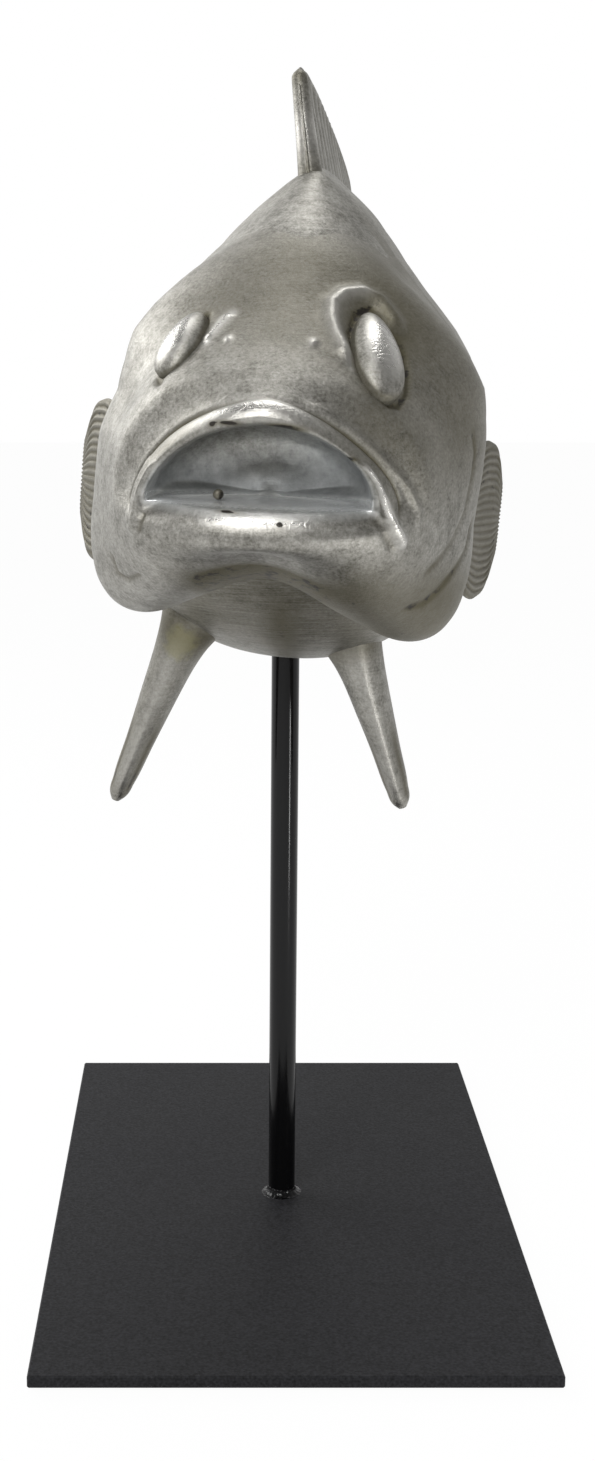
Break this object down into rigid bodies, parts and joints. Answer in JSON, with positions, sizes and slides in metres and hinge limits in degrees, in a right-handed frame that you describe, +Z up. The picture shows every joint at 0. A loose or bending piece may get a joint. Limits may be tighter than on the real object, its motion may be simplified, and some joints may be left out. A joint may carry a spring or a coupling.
{
  "type": "fish figurine on stand",
  "caption": "Cast fish with open mouth, silver leaf finish, turning on a round steel rod welded to a flat black base plate.",
  "frame": {"origin": "on the rod's axis, in the plane that the four feet rest on", "axes": "+Z up along the rod, the fish looks along -Y with its own left side at +X, X across the base plate's short side"},
  "size_m": [0.16, 0.3469, 0.3929],
  "materials": {
    "powder_coat": "matte black powder coat on steel plate",
    "rod_enamel": "semi-gloss black enamel on steel rod",
    "foot_rubber": "plain black rubber",
    "sleeve_brass": "turned, bare",
    "silver_leaf": "cast resin covered with aged silver leaf, burnished on the high spots"
  },
  "bodies": {
    "stand": {"base_plate": "powder_coat", "support_rod": "rod_enamel", "weld_bead": "rod_enamel", "foot_front_left": "foot_rubber", "foot_front_right": "foot_rubber", "foot_rear_left": "foot_rubber", "foot_rear_right": "foot_rubber"},
    "fish": {"rod_sleeve": "sleeve_brass", "fish_body": "silver_leaf", "dorsal_fin": "silver_leaf", "tail_fin": "silver_leaf", "anal_fin": "silver_leaf", "left_pectoral_fin": "silver_leaf", "right_pectoral_fin": "silver_leaf", "left_pelvic_fin": "silver_leaf", "right_pelvic_fin": "silver_leaf", "left_eye": "silver_leaf", "right_eye": "silver_leaf"}
  },
  "joints": [
    {"name": "fish_swivel", "type": "hinge", "parent": "stand", "child": "fish", "pos_m": [0, 0, 0.235], "axis": [0, 0, 1], "continuous": true}
  ]
}
